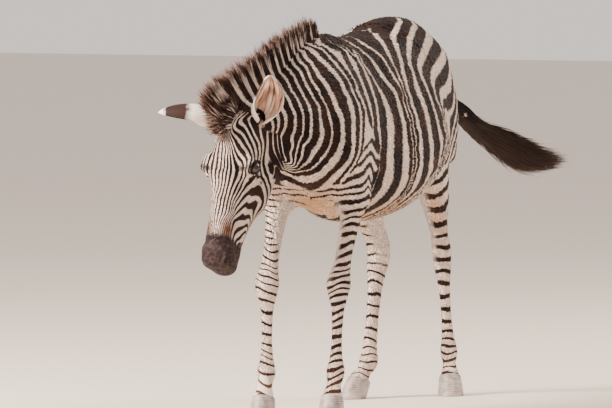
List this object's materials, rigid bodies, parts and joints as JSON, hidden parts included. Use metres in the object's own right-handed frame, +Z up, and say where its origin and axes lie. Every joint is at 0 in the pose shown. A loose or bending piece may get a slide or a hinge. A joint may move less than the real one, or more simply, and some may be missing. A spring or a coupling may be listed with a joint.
{
  "type": "zebra figure",
  "caption": "Life-size plains zebra in a walking stance, head lowered and turned to its right, tail swung to its left; one rigid display figure.",
  "frame": {"origin": "on the floor, under the middle of the animal's bounding box", "axes": "the animal faces -Y, its left side is +X and +Z is up; it stands on the plane z = 0"},
  "size_m": [0.827, 1.9192, 1.3332],
  "materials": {
    "coat": "short flat hair, off-white striped with dark brown-black",
    "muzzle_skin": "thin dark skin with very short hair",
    "mane_hair": "stiff upright hair, striped like the neck, rusty at the tips",
    "tail_hair": "long dark hair",
    "hoof_horn": "dull grey horn, paler at the worn edge",
    "eye": "wet dark eye"
  },
  "bodies": {
    "root": {"shoulders": "coat", "barrel": "coat", "rump": "coat", "neck": "coat", "head": "coat", "muzzle": "muzzle_skin", "foreleg_left_upper": "coat", "foreleg_left_cannon": "coat", "foreleg_left_pastern": "coat", "foreleg_right_upper": "coat", "foreleg_right_cannon": "coat", "foreleg_right_pastern": "coat", "hindleg_left_upper": "coat", "hindleg_left_cannon": "coat", "hindleg_left_pastern": "coat", "hindleg_right_upper": "coat", "hindleg_right_cannon": "coat", "hindleg_right_pastern": "coat", "tail_dock": "coat", "foreleg_left_hoof": "hoof_horn", "foreleg_right_hoof": "hoof_horn", "hindleg_left_hoof": "hoof_horn", "hindleg_right_hoof": "hoof_horn", "eye_left": "eye", "eye_right": "eye", "ear_left": "coat", "ear_right": "coat", "mane": "mane_hair", "tail_tuft": "tail_hair"}
  },
  "joints": []
}
